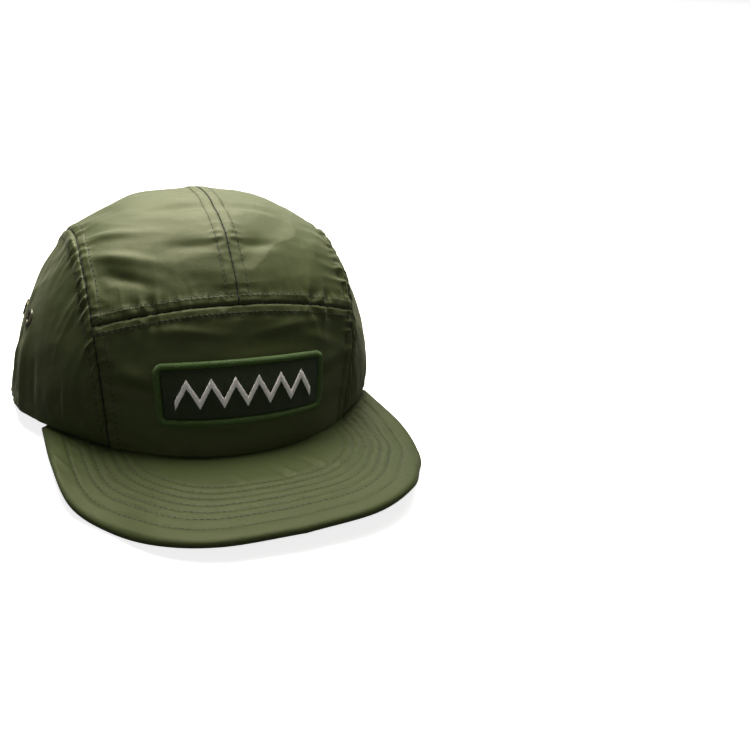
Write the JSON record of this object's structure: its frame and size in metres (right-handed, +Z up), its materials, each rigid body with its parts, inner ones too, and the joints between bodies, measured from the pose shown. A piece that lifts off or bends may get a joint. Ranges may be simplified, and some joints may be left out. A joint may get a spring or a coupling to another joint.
{
  "type": "five panel cap",
  "caption": "Soft nylon cap with a low front panel, curved stitched peak, side eyelets, front patch and a webbing strap with slide buckle over an elastic rear opening.",
  "frame": {"origin": "on the surface that the cap rests on, under the middle of its bounding box", "axes": "-Y towards the front of the peak, +X towards the wearer's left, +Z up"},
  "size_m": [0.1998, 0.2468, 0.1121],
  "materials": {
    "nylon": "olive green nylon taslan with a soft sheen",
    "band": "matt black cotton sweatband",
    "webbing": "black ribbed webbing",
    "plastic": "black moulded acetal, satin",
    "eyelet_metal": "olive lacquered metal, worn at the rim",
    "twill": "dark green twill",
    "border_thread": "green overlocked thread",
    "motif_thread": "light warm grey satin stitch"
  },
  "bodies": {
    "root": {"front_panel": "nylon", "top_panel_left": "nylon", "top_panel_right": "nylon", "side_panel_left": "nylon", "side_panel_right": "nylon", "rear_casing": "nylon", "peak": "nylon", "sweatband": "band", "strap_short": "webbing", "strap_long": "webbing", "buckle": "plastic", "eyelet_front_left": "eyelet_metal", "eyelet_rear_left": "eyelet_metal", "eyelet_front_right": "eyelet_metal", "eyelet_rear_right": "eyelet_metal", "patch": "twill", "patch_border": "border_thread", "patch_motif": "motif_thread"}
  },
  "joints": []
}
